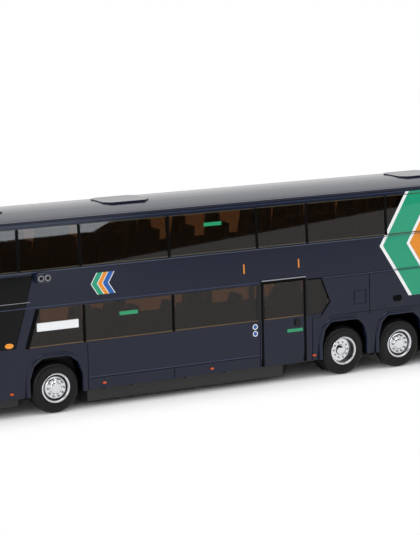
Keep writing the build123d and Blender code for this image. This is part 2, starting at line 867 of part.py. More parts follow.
with BuildPart() as steering_wheel:
    with BuildSketch(Plane(origin=(aft(-19.4), driver_y, lower_floor_top + 7.4), z_dir=(-0.8, 0, 1))):
        RegularPolygon(2.7, 12)
        RegularPolygon(2.2, 12, mode=Mode.SUBTRACT)
        Rectangle(4.7, 0.6)
    extrude(amount=0.5)
    with BuildSketch(Plane(origin=(aft(-19.4), driver_y, lower_floor_top + 7.4), z_dir=(0.8, 0, -1))):
        RegularPolygon(0.5, 6)
    extrude(amount=2.4)
write_piece(steering_wheel.part, "steering_wheel")

with BuildPart() as driver_seat:
    with BuildSketch(Plane.XZ.offset(-driver_y - 3.0)):
        with BuildLine():
            Polyline(
                (aft(-12.2), lower_floor_top + surface_gap),
                (aft(-15.8), lower_floor_top + surface_gap),
                (aft(-15.8), lower_floor_top + 3.6),
                (aft(-17.4), lower_floor_top + 4.0),
                (aft(-17.4), lower_floor_top + 5.4),
                (aft(-12.6), lower_floor_top + 5.2),
                (aft(-11.4), lower_floor_top + 13.4),
                (aft(-10.0), lower_floor_top + 13.4),
                (aft(-11.0), lower_floor_top + 3.8),
                close=True,
            )
        make_face()
    extrude(amount=6.0)
write_piece(driver_seat.part, "driver_seat")

# Chassis moulding: flange under the casting, spine with the axle bearings, side boxes
chassis_front = -34.9
chassis_rear = 146.8
nose_cut = 4.4
side_box_front = 9.8
side_box_rear = 69.1
pocket_pitch = (side_box_rear - side_box_front - rib_width) / pocket_count
lug_places = [-24.0, 15.0, 23.1, 39.0, 51.0, 124.0]
lug_length = 1.8
with BuildPart() as chassis_base:
    chassis_middle = (aft(chassis_front) + aft(chassis_rear)) / 2
    chassis_length = chassis_rear - chassis_front
    with BuildSketch(Plane.XY.offset(flange_top - flange_depth)) as flange:
        with Locations((chassis_middle, 0)):
            Rectangle(chassis_length, 2 * flange_half)
        chamfer(flange.vertices(), length=nose_cut)
    extrude(amount=flange_depth)
    with Locations((chassis_middle, 0, spine_bottom)):
        Box(chassis_length - 7, 2 * spine_half, flange_top - spine_bottom, align=low_middle)
    with BuildSketch(Plane.XY.offset(chassis_bottom)):
        with BuildLine():
            Polyline(
                (aft(side_box_front), -chassis_half),
                (aft(side_box_front), chassis_half),
                (aft(side_box_rear), chassis_half),
                (aft(side_box_rear + 5.2), spine_half),
                (aft(side_box_rear + 5.2), -spine_half),
                (aft(side_box_rear), -chassis_half),
                close=True,
            )
        make_face()
    extrude(amount=flange_top - chassis_bottom)
    for front, rear in [(chassis_front + 6.0, -9.8), (116.8, chassis_rear - 5.0)]:
        with Locations(((aft(front) + aft(rear)) / 2, 0, spine_bottom)):
            Box(rear - front, 2 * (chassis_half - 0.6), flange_top - spine_bottom, align=low_middle)
    for place in axle_places:
        for side in [-1, 1]:
            with Locations((place, side * (spine_half + reach / 2), 0)):
                Box(2 * notch_half, reach, 4 * flange_top, mode=Mode.SUBTRACT)
        with Locations((place, 0, chassis_bottom + 1)):
            Box(5.0, 2 * spine_half, bearing_top - chassis_bottom - 1, align=low_middle)
    for place in axle_places:
        with Locations(Location((place, 0, tyre_radius), (90, 0, 0))):
            slot = 2 * (pin_radius + pin_clearance)
            Box(slot, slot, 4 * spine_half, mode=Mode.SUBTRACT)
    for place in lug_places:
        for side in [-1, 1]:
            with Locations((aft(place), side * (flange_half + 0.6), flange_top - flange_depth)):
                Box(lug_length, 1.6, flange_depth, align=low_middle)
    for radius, low, depth in [
        # radius, underside, depth of the bores for the screws
        (screw_radius + fit_gap, spine_bottom - 1, 20),
        (screw_head + fit_gap, spine_bottom - 1, 1 + head_sink),
    ]:
        with BuildSketch(Plane.XY.offset(low)):
            with Locations(*[(aft(place), 0) for place in screw_places]):
                RegularPolygon(radius, screw_sides, major_radius=False)
        extrude(amount=depth, mode=Mode.SUBTRACT)
    with BuildSketch(Plane.XY.offset(chassis_bottom)):
        with Locations(*[(aft(place), 0) for place in plinth_places]):
            RegularPolygon(boss_radius, screw_sides)
    extrude(amount=flange_top - chassis_bottom + boss_rise)
    for place in plinth_places:
        with Locations((aft(place), 0, chassis_bottom)):
            Cylinder(plinth_hole_radius, plinth_hole_depth, align=low_middle, mode=Mode.SUBTRACT)
    for side in [-1, 1]:
        for pocket in range(pocket_count):
            pocket_front = side_box_front + rib_width + pocket * pocket_pitch
            with Locations((aft(pocket_front), side * pocket_y, chassis_bottom)):
                Box(
                    pocket_pitch - rib_width, pocket_width, pocket_depth,
                    align=(Align.MAX, Align.CENTER, Align.MIN), mode=Mode.SUBTRACT,
                )
write_piece(chassis_base.part, "chassis_base")

with BuildPart() as base_screws:
    for radius, height in [(screw_head, head_height_low), (screw_radius, head_height_low + screw_grip)]:
        with BuildSketch(Plane.XY.offset(spine_bottom + 0.1)):
            with Locations(*[(aft(place), 0) for place in screw_places]):
                RegularPolygon(radius, screw_sides, major_radius=False)
        extrude(amount=height)
write_piece(base_screws.part, "base_screws")


def wheel_plane(place, side, across):
    """Plane across an axle, facing outwards, at a distance from the middle of the coach."""
    return Plane(origin=(place, side * across, tyre_radius), x_dir=(side, 0, 0), z_dir=(0, side, 0))


def tyre_form(place, side, face, width):
    """Tyre whose outer wall stands at face, with sloping shoulders, open for its rim."""
    with BuildPart() as tyre:
        with BuildSketch(wheel_plane(place, side, face - width)):
            RegularPolygon(tyre_radius, tyre_sides)
        extrude(amount=width)
        chamfer(tyre.faces().filter_by(Axis.Y).edges(), length=tyre_shoulder)
        with BuildSketch(wheel_plane(place, side, face - width)):
            RegularPolygon(rim_radius, rim_sides)
        extrude(amount=width, mode=Mode.SUBTRACT)
    return tyre.part


def hub_form(place, side, back, dish, cap_stand):
    """Wheel centre on the end of its axle pin: rim, dish and middle cap."""
    rim_face = tyre_face - 0.2
    floor = rim_face - dish
    outermost = -1 if side > 0 else 0
    with BuildPart() as cap:
        with BuildSketch(wheel_plane(place, side, floor)):
            RegularPolygon(cap_radius, cap_sides)
        extrude(amount=cap_stand)
        chamfer(cap.faces().sort_by(Axis.Y)[outermost].edges(), length=cap_slope)
    with BuildPart() as hub:
        with BuildSketch(wheel_plane(place, side, back)):
            RegularPolygon(rim_radius - fit_gap, rim_sides)
        extrude(amount=rim_face - back)
        with BuildSketch(wheel_plane(place, side, floor)):
            RegularPolygon(rim_radius - fit_gap - rim_bead - rim_slope, rim_sides)
        extrude(amount=dish, mode=Mode.SUBTRACT)
        chamfer(hub.faces().sort_by(Axis.Y)[outermost].inner_wires()[0].edges(), length=rim_slope)
        add(cap.part)
        with BuildSketch(wheel_plane(place, side, back)):
            RegularPolygon(pin_radius + pin_press, 8, major_radius=False)
        extrude(amount=floor - cap_floor - back + pin_press, mode=Mode.SUBTRACT)
    return hub.part


twin_offset = twin_width + twin_gap
axle_kinds = [
    # name, place, outer tyre width, twin tyres, depth of the dish, height of the cap over its floor
    ("front", front_axle_x, tyre_width, False, 0.7, 0.9),
    ("drive", drive_axle_x, twin_width, True, 2.3, 1.6),
    ("tag", tag_axle_x, tyre_width, False, 0.7, 0.9),
]
for axle_name, place, width, twin, dish, cap_stand in axle_kinds:
    with BuildPart() as axle_pin:
        with Locations(Location((place, 0, tyre_radius), (90, 0, 0))):
            Cylinder(pin_radius, 2 * (tyre_face - 0.2 - dish - cap_floor))
    write_piece(axle_pin.part, f"{axle_name}_axle_pin")
    back = tyre_face - width + 0.5 - (twin_offset if twin else 0)
    with BuildPart() as hubs:
        for side in [-1, 1]:
            add(hub_form(place, side, back, dish, cap_stand))
    write_piece(hubs.part, f"{axle_name}_hubs")
    with BuildPart() as tyres:
        for side in [-1, 1]:
            add(tyre_form(place, side, tyre_face, width))
            if twin:
                add(tyre_form(place, side, tyre_face - twin_offset, width))
    write_piece(tyres.part, f"{axle_name}_tyres")
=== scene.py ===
import json
import math

import bmesh
import bpy
from mathutils import Matrix, Vector


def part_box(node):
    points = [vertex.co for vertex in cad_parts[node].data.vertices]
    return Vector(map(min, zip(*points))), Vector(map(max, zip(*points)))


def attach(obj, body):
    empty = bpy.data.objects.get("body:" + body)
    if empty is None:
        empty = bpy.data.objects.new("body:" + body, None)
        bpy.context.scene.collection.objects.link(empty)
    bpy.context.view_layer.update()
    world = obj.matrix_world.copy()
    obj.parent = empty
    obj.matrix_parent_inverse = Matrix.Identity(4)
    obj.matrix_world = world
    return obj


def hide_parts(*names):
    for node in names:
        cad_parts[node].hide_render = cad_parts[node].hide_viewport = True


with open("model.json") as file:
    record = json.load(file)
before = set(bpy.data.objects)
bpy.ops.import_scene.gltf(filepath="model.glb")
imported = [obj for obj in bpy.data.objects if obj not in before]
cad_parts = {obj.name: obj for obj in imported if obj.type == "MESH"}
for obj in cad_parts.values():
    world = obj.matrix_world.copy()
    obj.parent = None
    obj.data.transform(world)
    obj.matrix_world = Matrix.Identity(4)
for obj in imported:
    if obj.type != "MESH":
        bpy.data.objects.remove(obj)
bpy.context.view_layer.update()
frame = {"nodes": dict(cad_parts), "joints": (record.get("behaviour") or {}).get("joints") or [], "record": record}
nodes = frame["nodes"]
joints = {joint["name"]: joint for joint in frame["joints"]}

# Lengths in this script are metres, or millimetres where they are multiplied by MM.
# The coach stands on Z = 0, nose to +X, left side to +Y.
MM = 0.001
axle_places = {name: Vector(joints[f"{name}_axle_spin"]["pos_m"]) for name in ["front", "drive", "tag"]}
front_axle = axle_places["front"]

# Body side: half width, the height where it starts to lean in, and the lean per millimetre
HALF_WIDTH = 16.8
SHOULDER = 28.0
LEAN = 1.05 / 23.3
SIDES = [(1, "left"), (-1, "right")]


def aft(distance):
    """Place along the coach, in metres, from millimetres behind the front axle."""
    return front_axle.x - distance * MM


def behind_front(axle):
    """Millimetres from the front axle back to an axle."""
    return (front_axle.x - axle_places[axle].x) / MM


def side_at(height):
    """Outer half width of the body in millimetres at a height."""
    return HALF_WIDTH - LEAN * max(0, height - SHOULDER)


# Camera
def set_camera():
    """Long lens from the front left, a little above the roof."""
    image_width = 420
    focal_pixels = 2068.4
    yaw, pitch, roll = (math.radians(angle) for angle in (-26.592, 9.3406, -1.4021))
    place = Vector((aft(-201.42), 510.92 * MM, 125.58 * MM))
    ahead = Vector((math.sin(yaw) * math.cos(pitch), -math.cos(yaw) * math.cos(pitch), -math.sin(pitch)))
    level = ahead.cross(Vector((0, 0, 1))).normalized()
    upright = level.cross(ahead)
    right = level * math.cos(roll) + upright * math.sin(roll)
    up = upright * math.cos(roll) - level * math.sin(roll)
    data = bpy.data.cameras.new("camera")
    data.sensor_fit = "HORIZONTAL"
    data.sensor_width = 36
    data.lens = data.sensor_width * focal_pixels / image_width
    data.clip_start = 0.01
    data.clip_end = 50
    camera = bpy.data.objects.new("camera", data)
    turn = Matrix((right, up, -ahead)).transposed().to_4x4()
    camera.matrix_world = Matrix.Translation(place) @ turn
    bpy.context.scene.collection.objects.link(camera)
    bpy.context.scene.camera = camera


# Shader helpers
def linear(red, green, blue):
    """Linear colour from 0 to 255 display values."""
    def channel(value):
        share = value / 255
        return share / 12.92 if share <= 0.04045 else ((share + 0.055) / 1.055) ** 2.4
    return (channel(red), channel(green), channel(blue), 1.0)


def feed(tree, socket, value):
    """Sets an input to a number or colour, or links it to a socket."""
    if isinstance(value, bpy.types.NodeSocket):
        tree.links.new(value, socket)
    else:
        socket.default_value = value


def calc(tree, operation, *values):
    """Math node on numbers or sockets."""
    node = tree.nodes.new("ShaderNodeMath")
    node.operation = operation
    for socket, value in zip(node.inputs, values):
        feed(tree, socket, value)
    return node.outputs["Value"]


def between(tree, value, low, high):
    """1 where a value lies between two limits, 0 elsewhere."""
    above = calc(tree, "GREATER_THAN", value, low)
    return calc(tree, "MULTIPLY", above, calc(tree, "LESS_THAN", value, high))


def layer(tree, below, above, mask):
    """One colour over another where the mask is 1."""
    mix = tree.nodes.new("ShaderNodeMix")
    mix.data_type = "RGBA"
    feed(tree, mix.inputs["Factor"], mask)
    feed(tree, mix.inputs["A"], below)
    feed(tree, mix.inputs["B"], above)
    return mix.outputs["Result"]


def graded(tree, value, start, end):
    """Straight grade from one number to another as a value goes from 0 to 1."""
    node = tree.nodes.new("ShaderNodeMapRange")
    feed(tree, node.inputs["Value"], value)
    feed(tree, node.inputs["To Min"], start)
    feed(tree, node.inputs["To Max"], end)
    return node.outputs["Result"]


def places(tree):
    """Sockets for the distance behind the front axle, to the left and up, in millimetres."""
    coordinates = tree.nodes.new("ShaderNodeTexCoord")
    parts = tree.nodes.new("ShaderNodeSeparateXYZ")
    tree.links.new(coordinates.outputs["Object"], parts.inputs["Vector"])
    back = calc(tree, "MULTIPLY_ADD", parts.outputs["X"], -1 / MM, front_axle.x / MM)
    left = calc(tree, "MULTIPLY", parts.outputs["Y"], 1 / MM)
    height = calc(tree, "MULTIPLY", parts.outputs["Z"], 1 / MM)
    return back, left, height


def new_material(name):
    """Material with a fresh Principled shader; returns it with its tree and shader."""
    material = bpy.data.materials.new(name)
    material.use_nodes = True
    tree = material.node_tree
    return material, tree, tree.nodes["Principled BSDF"]


def unevenness(tree, shader, scale, strength, distance):
    """Fine noise over the surface, as a bump; returns the noise."""
    place = tree.nodes.new("ShaderNodeTexCoord")
    noise = tree.nodes.new("ShaderNodeTexNoise")
    noise.inputs["Scale"].default_value = scale
    noise.inputs["Detail"].default_value = 3
    bump = tree.nodes.new("ShaderNodeBump")
    bump.inputs["Strength"].default_value = strength
    bump.inputs["Distance"].default_value = distance
    tree.links.new(place.outputs["Object"], noise.inputs["Vector"])
    tree.links.new(noise.outputs["Fac"], bump.inputs["Height"])
    tree.links.new(bump.outputs["Normal"], shader.inputs["Normal"])
    return noise.outputs["Fac"]


def mottled(tree, colour, share, noise):
    """A colour that noise darkens here and there, down to a share of itself."""
    darker = tuple(channel * share for channel in colour[:3]) + (1.0,)
    return layer(tree, darker, colour, noise)


# Printed livery: nested chevrons that point forward, on both sides
PRINT_WHITE = linear(236, 238, 240)
PRINT_GREEN = linear(38, 152, 116)
PRINT_ORANGE = linear(226, 140, 40)
PRINT_BLUE = linear(34, 92, 168)
LABEL_GREEN = linear(48, 150, 104)
SILL_CREAM = linear(74, 72, 58)
SILL_BROWN = linear(104, 82, 56)
PRINT_SIDE = 15.2
SLOPE = 0.62
chevron_bands = [
    # start behind the point, as a share of the whole, and colour
    (0.0, PRINT_WHITE),
    (0.04, PRINT_GREEN),
    (0.34, PRINT_WHITE),
    (0.38, PRINT_ORANGE),
    (0.62, PRINT_WHITE),
    (0.66, PRINT_BLUE),
    (0.96, PRINT_WHITE),
]
chevrons = [
    # point behind the front axle, whole length, middle height, low, high
    (99.8, 26.0, 35.6, 20.6, 50.4),
    (10.8, 5.2, 33.5, 30.6, 36.4),
]
stickers = [
    # front, rear, low, high, colour: blank labels, short rules and sill lines on the left side
    (-4.9, 6.9, 22.5, 24.7, PRINT_WHITE),
    (18.8, 24.1, 24.4, 25.4, LABEL_GREEN),
    (44.8, 50.1, 45.9, 46.9, LABEL_GREEN),
    (69.5, 74.4, 14.1, 15.0, LABEL_GREEN),
    (-26.0, 138.6, 38.6, 38.85, SILL_CREAM),
    (-26.0, 138.6, 49.45, 49.68, SILL_CREAM),
    (-8.2, 60.3, 18.35, 18.6, SILL_BROWN),
    (62.4, 74.6, 18.35, 18.6, SILL_BROWN),
    (56.2, 56.6, 31.9, 34.5, PRINT_ORANGE),
    (73.3, 73.7, 32.0, 34.4, PRINT_ORANGE),
]
discs = [
    # distance behind the front axle, height, radius, colour
    (59.4, 16.8, 0.78, PRINT_WHITE),
    (59.4, 16.8, 0.55, PRINT_BLUE),
    (59.4, 14.9, 0.78, PRINT_WHITE),
    (59.4, 14.9, 0.55, PRINT_BLUE),
]


def printed(tree, colour):
    """Livery and labels over a colour; returns the new colour and the mask of what is printed."""
    back, left, height = places(tree)
    outside = calc(tree, "GREATER_THAN", calc(tree, "ABSOLUTE", left), PRINT_SIDE)
    on_left = calc(tree, "GREATER_THAN", left, PRINT_SIDE)
    whole = 0.0
    for point, length, middle, low, high in chevrons:
        off = calc(tree, "ABSOLUTE", calc(tree, "SUBTRACT", height, middle))
        start = calc(tree, "MULTIPLY_ADD", off, SLOPE, point)
        share = calc(tree, "DIVIDE", calc(tree, "SUBTRACT", back, start), length)
        ramp = tree.nodes.new("ShaderNodeValToRGB")
        ramp.color_ramp.interpolation = "CONSTANT"
        steps = ramp.color_ramp.elements
        steps.remove(steps[1])
        steps[0].color = chevron_bands[0][1]
        for position, band_colour in chevron_bands[1:]:
            steps.new(position).color = band_colour
        tree.links.new(share, ramp.inputs["Fac"])
        mask = calc(tree, "MULTIPLY", between(tree, share, 0, 1), between(tree, height, low, high))
        mask = calc(tree, "MULTIPLY", mask, outside)
        colour = layer(tree, colour, ramp.outputs["Color"], mask)
        whole = calc(tree, "MAXIMUM", whole, mask)
    for front, rear, low, high, sticker_colour in stickers:
        mask = calc(tree, "MULTIPLY", between(tree, back, front, rear), between(tree, height, low, high))
        mask = calc(tree, "MULTIPLY", mask, on_left)
        colour = layer(tree, colour, sticker_colour, mask)
        whole = calc(tree, "MAXIMUM", whole, mask)
    for place, middle, radius, disc_colour in discs:
        along = calc(tree, "POWER", calc(tree, "SUBTRACT", back, place), 2)
        up = calc(tree, "POWER", calc(tree, "SUBTRACT", height, middle), 2)
        mask = calc(tree, "LESS_THAN", calc(tree, "ADD", along, up), radius**2)
        mask = calc(tree, "MULTIPLY", mask, on_left)
        colour = layer(tree, colour, disc_colour, mask)
        whole = calc(tree, "MAXIMUM", whole, mask)
    return colour, whole


# Finishes
NAVY = linear(19, 26, 46)
BLACK_PAINT = linear(9, 9, 10)
pillar_zones = [
    # front, rear, low, high: black paint between and round the panes
    (-60.0, 139.0, 38.5, 49.72),
    (8.05, 8.95, 18.3, 28.4),
    (34.15, 35.05, 18.3, 28.4),
    (60.0, 76.2, 18.3, 28.5),
]


def body_paint(name, pillars):
    """Glossy navy paint with its print; black between the panes where pillars is set."""
    material, tree, shader = new_material(name)
    noise = unevenness(tree, shader, 700, 0.05, 0.00001)
    colour = mottled(tree, NAVY, 0.88, noise)
    if pillars:
        back, left, height = places(tree)
        for front, rear, low, high in pillar_zones:
            along = between(tree, back, front, rear)
            zone = calc(tree, "MULTIPLY", along, between(tree, height, low, high))
            colour = layer(tree, colour, BLACK_PAINT, zone)
    colour, mask = printed(tree, colour)
    tree.links.new(colour, shader.inputs["Base Color"])
    tree.links.new(graded(tree, noise, 0.14, 0.2), shader.inputs["Roughness"])
    shader.inputs["Specular IOR Level"].default_value = 0.32
    return material


def plain_finish(name, colour, roughness, metallic=0.0, specular=0.5, bump=(900, 0.1, 0.00002)):
    """Moulded or metal finish with slight unevenness in colour and surface."""
    material, tree, shader = new_material(name)
    shader.inputs["Metallic"].default_value = metallic
    shader.inputs["Specular IOR Level"].default_value = specular
    noise = unevenness(tree, shader, *bump)
    tree.links.new(mottled(tree, colour, 0.86, noise), shader.inputs["Base Color"])
    tree.links.new(graded(tree, noise, roughness * 0.85, roughness * 1.15), shader.inputs["Roughness"])
    return material


def glazing(name, tint, specular, with_print):
    """Clear plastic glazing with a tint; the print on it is opaque."""
    material, tree, shader = new_material(name)
    noise = unevenness(tree, shader, 300, 0.015, 0.00001)
    colour = mottled(tree, tint, 0.92, noise)
    if with_print:
        colour, mask = printed(tree, colour)
        tree.links.new(graded(tree, mask, 1.0, 0.0), shader.inputs["Transmission Weight"])
    else:
        shader.inputs["Transmission Weight"].default_value = 1.0
    tree.links.new(colour, shader.inputs["Base Color"])
    shader.inputs["Roughness"].default_value = 0.015
    shader.inputs["IOR"].default_value = 1.4
    shader.inputs["Specular IOR Level"].default_value = specular
    return material


def tyre_rubber():
    """Matt black rubber, a little greyer in random patches."""
    material, tree, shader = new_material("tyre_rubber")
    noise = unevenness(tree, shader, 1400, 0.12, 0.00002)
    colour = layer(tree, linear(13, 13, 13), linear(18, 18, 18), noise)
    tree.links.new(colour, shader.inputs["Base Color"])
    tree.links.new(graded(tree, noise, 0.34, 0.44), shader.inputs["Roughness"])
    shader.inputs["Specular IOR Level"].default_value = 0.24
    return material


# Height in millimetres above which an orange lamp is a repeater
REPEATER_LOW = 15.0


def marker_plastic():
    """Orange lamp plastic: red-orange markers along the skirt and amber repeaters above them."""
    material, tree, shader = new_material("lamp_orange")
    back, left, height = places(tree)
    repeater = calc(tree, "GREATER_THAN", height, REPEATER_LOW)
    colour = layer(tree, linear(204, 78, 24), linear(238, 150, 44), repeater)
    tree.links.new(colour, shader.inputs["Base Color"])
    shader.inputs["Roughness"].default_value = 0.15
    return material


finishes = {
    "body_paint": body_paint("navy_paint", True),
    "bumper_paint": body_paint("navy_plastic", True),
    "black_gloss": plain_finish("black_gloss", linear(9, 10, 10), 0.1, specular=0.16),
    "black_matte": plain_finish("black_matte", linear(14, 14, 15), 0.5, specular=0.3),
    "chassis_grey": plain_finish("chassis_grey", linear(46, 46, 47), 0.45, specular=0.4),
    "tinted_glass": glazing("tinted_glass", (0.22, 0.135, 0.08, 1), 0.42, True),
    "clear_glass": glazing("screen_glass", (0.5, 0.52, 0.5, 1), 0.5, False),
    "lamp_clear": glazing("lamp_clear", (0.9, 0.92, 0.95, 1), 0.5, False),
    "lamp_red": plain_finish("lamp_red", linear(170, 20, 18), 0.12),
    "lamp_orange": marker_plastic(),
    "seat_grey": plain_finish("seat_grey", linear(16, 20, 20), 0.7, specular=0.2),
    "deck_grey": plain_finish("deck_grey", linear(30, 31, 30), 0.6, specular=0.2),
    "plate_white": plain_finish("plate_white", linear(225, 225, 222), 0.3),
    "tyre": tyre_rubber(),
    "wheel_chrome": plain_finish("wheel_chrome", linear(226, 227, 230), 0.13, metallic=1.0),
    "steel": plain_finish("steel", linear(150, 150, 152), 0.3, metallic=1.0),
    "pod_grey": plain_finish("pod_grey", linear(28, 34, 54), 0.15),
    "divider": plain_finish("divider_black", linear(7, 7, 7), 0.5, specular=0.06),
    # Dark metal painted as the shade in a rim's groove and as the dark reflected in a dished rim's barrel
    "rim_painted_shade": plain_finish("rim_painted_shade", linear(40, 40, 42), 0.35, metallic=0.6),
    # Light grey: a painted highlight on the door's top rail, and a thin light line on the black front panel
    "rail_highlight_and_panel_line": plain_finish("rail_highlight_and_panel_line", linear(150, 152, 160), 0.3),
    # Pale blue painted highlight along the waist ledge
    "waist_painted_highlight": plain_finish("waist_painted_highlight", linear(84, 92, 114), 0.25),
    # Light navy painted highlights along panel edges and seams
    "painted_highlight_navy": plain_finish("painted_highlight_navy", linear(44, 55, 86), 0.25),
    # Duller navy over the roof's shoulder: a painted dark reflection
    "roof_painted_reflection": plain_finish("roof_painted_reflection", linear(24, 30, 52), 0.3, specular=0.16),
}
for part in frame["record"]["subparts"]:
    node = nodes[part["node"]]
    node.data.materials.clear()
    node.data.materials.append(finishes[part["material_slot"]])


# Piece helpers
def finish_piece(mesh_name, work, material_slot, body, stands_for=(), finish=None):
    """Turns a bmesh into a piece that rides on a body, in the slot's finish or another one."""
    bmesh.ops.remove_doubles(work, verts=work.verts, dist=1e-7)
    bmesh.ops.recalc_face_normals(work, faces=work.faces)
    mesh = bpy.data.meshes.new(mesh_name)
    work.to_mesh(mesh)
    work.free()
    mesh.materials.append(finishes[finish or material_slot])
    piece = bpy.data.objects.new(mesh_name, mesh)
    bpy.context.scene.collection.objects.link(piece)
    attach(piece, body)
    if stands_for:
        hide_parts(*stands_for)
    return piece


def shade(piece, angle):
    """Smooth shading, with edges sharper than an angle in degrees kept."""
    for face in piece.data.polygons:
        face.use_smooth = True
    piece.data.set_sharp_from_angle(angle=math.radians(angle))


def bridge(work, rings, around):
    """Adds the faces from each ring of vertices to the next; around closes every ring on itself."""
    for first, second in zip(rings, rings[1:]):
        last = len(first) if around else len(first) - 1
        for index in range(last):
            after = (index + 1) % len(first)
            work.faces.new((first[index], first[after], second[after], second[index]))


def capped(work, rings):
    """Adds a closed form through rings of vertices, with a face over each end."""
    bridge(work, rings, True)
    work.faces.new(rings[0])
    work.faces.new(rings[-1])


def side_ring(work, points, across, side):
    """Vertices at (distance behind the front axle, height) points, as far out as across tells."""
    return [
        work.verts.new((aft(place), side * across(height) * MM, height * MM))
        for place, height in points
    ]


def turned(work, profile, centre, side, steps):
    """Vertex rings about an axle from (radius, distance from the coach's middle) pairs."""
    rings = []
    for radius, across in profile:
        ring = []
        for step in range(steps):
            angle = 2 * math.pi * step / steps
            place = (
                centre.x + radius * MM * math.cos(angle),
                side * across * MM,
                centre.z + radius * MM * math.sin(angle),
            )
            ring.append(work.verts.new(place))
        rings.append(ring)
    return rings


def turned_loop(work, profile, centre, side, steps):
    """Adds a form turned about an axle whose profile closes on itself."""
    rings = turned(work, profile, centre, side, steps)
    bridge(work, rings + rings[:1], True)


# Wheels
RIM_FACE = 16.2
TYRE_FACE = 16.4
TYRE_RADIUS = 6.85
WHEEL_STEPS = 96
# Tread grooves: places off the tyre's middle as shares of its width, depth, and half widths at
# the mouth and at the floor
GROOVE_SHARES = [-0.2, 0.0, 0.2]
GROOVE_DEPTH = 0.22
GROOVE_MOUTH = 0.13
GROOVE_FLOOR = 0.09


def tyre_profile(face, width):
    """Cross-section of a tyre: beads, bulging walls, round shoulders and a grooved tread."""
    half = [
        # radius, distance in from the outer wall
        (4.06, 0.55),
        (4.12, 0.2),
        (4.35, 0.08),
        (4.7, 0.12),
        (5.2, 0.02),
        (5.75, 0.0),
        (6.15, 0.12),
        (6.48, 0.36),
        (6.7, 0.7),
        (6.82, 1.05),
    ]
    grooves = []
    for share in GROOVE_SHARES:
        middle = width / 2 + share * width
        grooves += [
            (TYRE_RADIUS, middle - GROOVE_MOUTH),
            (TYRE_RADIUS - GROOVE_DEPTH, middle - GROOVE_FLOOR),
            (TYRE_RADIUS - GROOVE_DEPTH, middle + GROOVE_FLOOR),
            (TYRE_RADIUS, middle + GROOVE_MOUTH),
        ]
    far = [(radius, width - inset) for radius, inset in reversed(half)]
    return [(radius, face - inset) for radius, inset in half + grooves + far]


def rim_profile(dished):
    """Wheel centre from the rim's hidden back to the middle of its cap."""
    lip = [(4.04, -1.6), (4.04, -0.1), (3.98, 0.05), (3.84, 0.12), (3.66, 0.1), (3.54, -0.02)]
    if dished:
        inner = [
            (3.46, -0.3), (3.3, -1.2), (3.12, -1.9), (2.95, -2.15), (2.7, -2.24), (1.75, -2.24),
            (1.62, -2.1), (1.55, -1.5), (1.42, -1.2), (1.1, -1.04), (0.5, -1.0),
        ]
    else:
        inner = [
            (3.46, -0.28), (3.34, -0.62), (3.16, -0.66), (3.02, -0.52), (2.86, -0.22), (2.62, -0.12),
            (2.0, -0.1), (1.72, -0.12), (1.62, -0.02), (1.52, 0.1), (1.3, 0.17), (0.9, 0.19), (0.5, 0.19),
        ]
    return [(radius, RIM_FACE + out) for radius, out in lip + inner]


def painted_shade_profile(dished):
    """Painted shade: a dark ring in the groove of a rim; on a dished rim, a painted dark reflection on its barrel
    wall.
    """
    if dished:
        ring = [(3.44, -0.34), (3.28, -1.2), (3.1, -1.88), (3.2, -1.9), (3.4, -1.2), (3.52, -0.34)]
    else:
        ring = [(3.4, -0.45), (3.32, -0.56), (3.16, -0.58), (3.04, -0.5), (3.1, -0.64), (3.34, -0.66)]
    return [(radius, RIM_FACE + out) for radius, out in ring]


def nut_ring_tree():
    """Geometry of a ring of wheel nuts on both sides of the coach."""
    tree = bpy.data.node_groups.new("nut_ring", "GeometryNodeTree")
    sizes = [
        # name, type
        ("Count", "NodeSocketInt"),
        ("Ring Radius", "NodeSocketFloat"),
        ("Nut Radius", "NodeSocketFloat"),
        ("Nut Height", "NodeSocketFloat"),
        ("Nut Sides", "NodeSocketInt"),
        ("Left Place", "NodeSocketVector"),
        ("Right Place", "NodeSocketVector"),
        ("Finish", "NodeSocketMaterial"),
    ]
    for name, kind in sizes:
        tree.interface.new_socket(name, in_out="INPUT", socket_type=kind)
    tree.interface.new_socket("Geometry", in_out="OUTPUT", socket_type="NodeSocketGeometry")
    inputs = tree.nodes.new("NodeGroupInput")
    ring = tree.nodes.new("GeometryNodeMeshCircle")
    nut = tree.nodes.new("GeometryNodeMeshCylinder")
    spread = tree.nodes.new("GeometryNodeInstanceOnPoints")
    join = tree.nodes.new("GeometryNodeJoinGeometry")
    real = tree.nodes.new("GeometryNodeRealizeInstances")
    finish = tree.nodes.new("GeometryNodeSetMaterial")
    output = tree.nodes.new("NodeGroupOutput")
    links = [
        (inputs.outputs["Count"], ring.inputs["Vertices"]),
        (inputs.outputs["Ring Radius"], ring.inputs["Radius"]),
        (inputs.outputs["Nut Sides"], nut.inputs["Vertices"]),
        (inputs.outputs["Nut Radius"], nut.inputs["Radius"]),
        (inputs.outputs["Nut Height"], nut.inputs["Depth"]),
        (ring.outputs["Mesh"], spread.inputs["Points"]),
        (nut.outputs["Mesh"], spread.inputs["Instance"]),
        (join.outputs["Geometry"], real.inputs["Geometry"]),
        (real.outputs["Geometry"], finish.inputs["Geometry"]),
        (inputs.outputs["Finish"], finish.inputs["Material"]),
        (finish.outputs["Geometry"], output.inputs["Geometry"]),
    ]
    for place_name in ["Left Place", "Right Place"]:
        stand = tree.nodes.new("GeometryNodeTransform")
        stand.inputs["Rotation"].default_value = (math.pi / 2, 0, 0)
        links.append((spread.outputs["Instances"], stand.inputs["Geometry"]))
        links.append((inputs.outputs[place_name], stand.inputs["Translation"]))
        links.append((stand.outputs["Geometry"], join.inputs["Geometry"]))
    for source, target in links:
        tree.links.new(source, target)
    return tree


